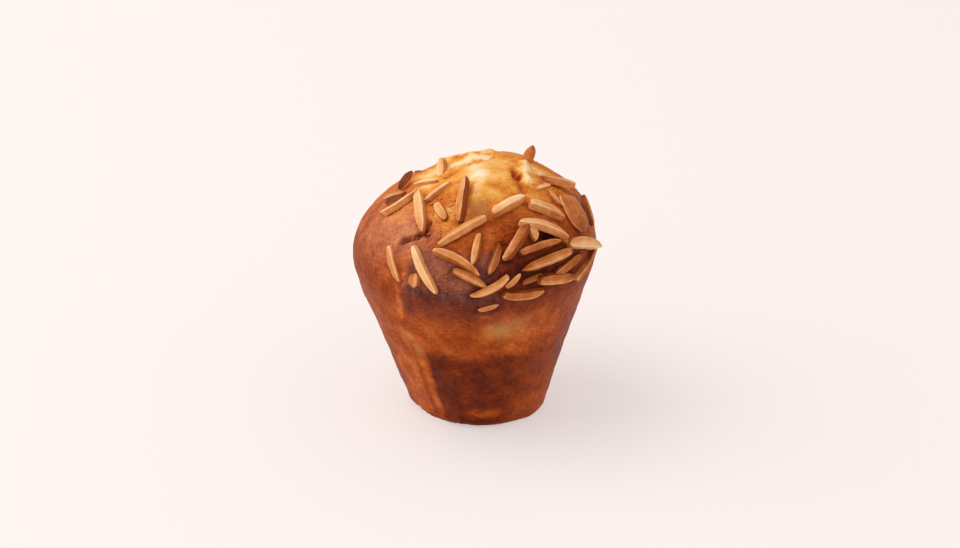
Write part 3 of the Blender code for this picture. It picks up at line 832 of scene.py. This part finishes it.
def sliverDistance(points):
    # Distance to the nearest sliver's middle line, which ends a little short of its tips.
    nearest = np.full(len(points), np.inf)
    for sliver in frontSlivers + strewnSlivers():
        centre = turnedPoint(sliver.azimuth, sliver.height)
        angle, turn = math.radians(sliver.azimuth), math.radians(sliver.turn)
        roundRight = np.array([math.cos(angle), math.sin(angle), 0])
        upward = np.cross(turnedNormals(centre[None])[0], roundRight)
        direction = roundRight * math.cos(turn) + upward * math.sin(turn)
        reach = direction * sliver.length * almonds["lineReach"]
        nearest = np.minimum(nearest, segmentDistance(points, centre - reach, centre + reach))
    return nearest


def sliverGrid():
    # A cube from -1 to 1 with its edges cut into a grid, which each sliver is shaped from.
    bm = bmesh.new()
    bmesh.ops.create_cube(bm, size=2)
    for axis, cuts in enumerate(almonds["cuts"]):
        edges = [edge for edge in bm.edges
                 if abs(edge.verts[0].co[axis] - edge.verts[1].co[axis]) > 1.5]
        bmesh.ops.subdivide_edges(bm, edges=edges, cuts=cuts, use_grid_fill=True)
    bmesh.ops.recalc_face_normals(bm, faces=bm.faces)
    grid = bpy.data.meshes.new("sliver grid")
    bm.to_mesh(grid)
    bm.free()
    return grid


def shapeSliver(sliver, grid, draw):
    # The grid's points as a sliver on the crust, with its toasting, painted highlight and shade,
    # skin and grain.
    # x runs along it to the pointed end, y across and z outwards, each from -1 to 1.
    a = almonds
    crowding = np.array(a["crowding"])[:, None]
    x, y, z = np.sign(grid.T) * (1 - (1 - np.abs(grid.T))**crowding)
    half = sliver.skin == 2         # a rounded half with its skin on
    halfLength = sliver.length / 2
    thickness = min(a["thickness"] * sliver.width, a["maxThickness"])
    end = np.where(x > 0, draw.uniform(*a["pointedEnds"]), draw.uniform(*a["bluntEnds"]))
    taper = 1 - (1 - end) * np.abs(x)**a["taperPower"]
    soft = (a["halfRounding"] if half else a["rounding"]) / 2
    across = y * np.sqrt(1 - soft * z**2)
    through = z * np.sqrt(1 - soft * y**2)
    narrowing = 1 - (1 - a["topWidth"]) * (z + 1) / 2 * (not half)
    slant = np.where(x > 0, draw.uniform(*a["cutSlants"]), draw.uniform(*a["cutSlants"]))
    alongMm = halfLength * x * (1 - a["cornerRounding"] * (y**2 + z**2) * x**4)
    alongMm += slant * y * end * np.abs(x)**3
    acrossMm = sliver.bow * (0.5 - x**2) + across * taper * narrowing * sliver.width / 2
    thinning = 1 - a["thinEnds"] * (1 - taper)
    dish = draw.uniform(0, a["maxDish"]) * np.clip(z, 0, 1) * (1 - y**2) * (1 - x**4)
    outMm = through * thickness / 2 * thinning - dish
    if half:
        edge, rise = a["dome"]
        dome = edge + rise * np.sqrt((1.02 - y**2) * (1.02 - x**2))
        outMm = np.where(z > 0, outMm * dome, outMm)
    outMm -= a["sag"] * (x * halfLength)**2 / (2 * muffin["shoulderRadius"])
    seed = draw.uniform(0, 50)
    local = np.stack([alongMm, acrossMm, outMm], axis=1)
    waves = [reach * noiseField(local, size, seed + step)
             for step, (size, reach) in enumerate([a["sideWaves"], a["topWaves"]])]

    at, roundRight, upward, outward = crustFrame(sliver.azimuth, sliver.height)
    turn = math.radians(sliver.turn)
    along = Vector(roundRight * math.cos(turn) + upward * math.sin(turn))
    outward = Vector(outward)
    sideways = outward.cross(along)
    middle = at + np.array(outward) * (sliver.lift + thickness / 2 - a["sink"])
    tip = Matrix.Rotation(math.radians(-sliver.rise), 3, sideways)
    along, outward = tip @ along, tip @ outward
    rolled = Matrix.Rotation(math.radians(sliver.roll), 3, along)
    axes = np.array([along, rolled @ sideways, rolled @ outward])
    co = middle + np.stack([alongMm, acrossMm + waves[0], outMm + waves[1]], axis=1) @ axes

    if half:
        place, softness = a["cutEdge"]
        toast = sliver.tone + a["cutEdgeToast"] * (1 - smoothStep((z - place) / softness))
        place, softness = a["halfSkinEdge"]
        fade = 1 - a["halfSkinFade"] * (1 - y)
        skin = a["halfSkin"] * smoothStep((z - place) / softness) * fade
    else:
        top = smoothStep((z - a["topEdge"]) / (1 - a["topEdge"]))
        alongPower, acrossPower = a["rimPowers"]
        rim = np.maximum(np.abs(x)**alongPower, np.abs(y)**acrossPower)
        # the rims of the upper face are paler: toasting and a painted highlight
        face = a["faceToast"] * (1 - rim) + a["rimToastAndHighlight"] * rim
        # the sides are darker: deeper toasting and painted shade
        toast = sliver.tone + face * top + a["sideToastAndShade"] * (1 - top)
        side = smoothStep((sliver.skin * y - a["skinEdge"]) / (1 - a["skinEdge"]))
        skin = side * (1 - top)
    toast += draw.uniform(*a["tipToasts"]) * np.abs(x)**a["tipPower"] * (not half)
    toast += draw.uniform(*a["acrossToasts"]) * y + draw.uniform(*a["alongToasts"]) * x
    grain = local + np.array([draw.uniform(0, 90) for _ in range(3)])
    return co, toast, skin, grain


def buildAlmonds(material):
    grid = sliverGrid()
    gridCo = np.array([vert.co for vert in grid.vertices])
    draw = random.Random(almonds["seed"])
    bm = bmesh.new()
    shaped = []
    for sliver in frontSlivers + strewnSlivers():
        bm.from_mesh(grid)
        shaped.append(shapeSliver(sliver, gridCo, draw))
    bpy.data.meshes.remove(grid)
    co, toast, skin, grain = [np.concatenate(part) for part in zip(*shaped)]
    piece = newPiece("almond_slivers", bm, co, material)
    setAttributes(piece.data, toast=toast, skin=skin, grainPlace=grain)


crumbs = {
    # azimuths, heights and number of crumbs
    "fields": [((-46, -22), (76, 87), 70), ((-38, 0), (59, 71), 90), ((5, 30), (77, 84), 40),
               ((140, 165), (77, 84), 40), ((58, 104), (83, 88.5), 60)],
    "radii": (0.25, 0.6),       # mm
    "stretches": ((0.8, 1.4), (0.7, 1.1)),     # of the radius, round the muffin and upwards
    "flatness": 0.75,
    "lumps": (0.8, 0.35),       # of the radius, size and height
    "lift": 0.15,               # of the radius, above the crust
    "browningChange": -0.04,
    "seed": 21,
}


def buildCrumbs(material):
    # Crumb that clings along the tears and between the slivers.
    c = crumbs
    bm = bmesh.new()
    bmesh.ops.create_icosphere(bm, subdivisions=2, radius=1)
    ball = bpy.data.meshes.new("crumb ball")
    bm.to_mesh(ball)
    bm.clear()
    ballCo = np.array([vert.co for vert in ball.vertices])
    lumpSize, lumpHeight = c["lumps"]
    draw = random.Random(c["seed"])
    parts, turned = [], []
    for azimuths, heights, count in c["fields"]:
        for _ in range(count):
            azimuth, height = draw.uniform(*azimuths), draw.uniform(*heights)
            radius = draw.uniform(*c["radii"])
            stretch = np.array([draw.uniform(*reach) for reach in c["stretches"]]
                               + [c["flatness"]])
            lumpy = 1 + lumpHeight * noiseField(ballCo, lumpSize, draw.uniform(0, 60))
            local = ballCo * lumpy[:, None] * radius * stretch
            at, roundRight, upward, outward = crustFrame(azimuth, height)
            axes = np.array([roundRight, upward, outward])
            bm.from_mesh(ball)
            parts.append(at + outward * radius * c["lift"] + local @ axes)
            turned.append(np.tile(turnedPoint(azimuth, height), (len(ballCo), 1)))
    bpy.data.meshes.remove(ball)
    piece = newPiece("crumbs", bm, np.concatenate(parts), material)
    browning, dusk, bare, _, _ = crustPaint(np.concatenate(turned))
    browning += c["browningChange"]
    setAttributes(piece.data, browning=browning, dusk=dusk, bare=bare)


studio = {
    "floorSize": 6.0,           # m, as the places below
    "floorColour": "#b7b1af",
    "floorRoughness": 0.8,
    "worldColour": "#fff6f1",
    "worldStrength": 0.68,
    "keyPlace": (-1.25, 0.05, 1.62),
    "keyAim": (0, 0, 0.05),
    "keySize": 2.0,
    "keyPower": 23,
    "floorLight": 3.3,          # a light for the floor alone keeps the shadows on it faint
    "cameraPlace": (0.0016, -0.9063, 0.4721),
    "cameraTilt": 65,           # degrees
    "lens": 105,                # mm, before a sensor of this width
    "sensorWidth": 36,
}


def buildStudio():
    s = studio
    bm = bmesh.new()
    bmesh.ops.create_grid(bm, x_segments=1, y_segments=1, size=s["floorSize"] / 2)
    mesh = bpy.data.meshes.new("floor")
    bm.to_mesh(mesh)
    bm.free()
    floor = bpy.data.objects.new("floor", mesh)
    bpy.context.scene.collection.objects.link(floor)
    matt, _, _ = newMaterial("matt pale floor", {
        "Base Color": linearColour(s["floorColour"]), "Roughness": s["floorRoughness"]})
    mesh.materials.append(matt)

    world = bpy.data.worlds.new("pale studio")
    world.use_nodes = True
    background = world.node_tree.nodes["Background"]
    background.inputs["Color"].default_value = linearColour(s["worldColour"])
    background.inputs["Strength"].default_value = s["worldStrength"]
    bpy.context.scene.world = world

    light = bpy.data.lights.new("window", 'AREA')
    light.size = s["keySize"]
    light.energy = s["keyPower"]
    window = bpy.data.objects.new("window", light)
    window.location = s["keyPlace"]
    aim = Vector(s["keyAim"]) - window.location
    window.rotation_euler = aim.to_track_quat('-Z', 'Y').to_euler()
    bpy.context.scene.collection.objects.link(window)

    wash = bpy.data.lights.new("floor wash", 'SUN')
    wash.energy = s["floorLight"]
    washer = bpy.data.objects.new("floor wash", wash)
    bpy.context.scene.collection.objects.link(washer)
    floorOnly = bpy.data.collections.new("floor only")
    floorOnly.objects.link(floor)
    washer.light_linking.receiver_collection = floorOnly
    washer.light_linking.blocker_collection = floorOnly

    camera = bpy.data.cameras.new("camera")
    camera.lens = s["lens"]
    camera.sensor_width = s["sensorWidth"]
    view = bpy.data.objects.new("camera", camera)
    view.location = s["cameraPlace"]
    view.rotation_euler = (math.radians(s["cameraTilt"]), 0, 0)
    bpy.context.scene.collection.objects.link(view)
    bpy.context.scene.camera = view
    bpy.context.scene.view_settings.view_transform = 'Standard'


buildStudio()
print("studio ready")
crustSkin = crustMaterial()
buildCrust(crustSkin)
print("crust shaped and browned")
buildAlmonds(almondMaterial())
print("almond slivers laid")
buildCrumbs(crustSkin)
print("crumbs scattered")
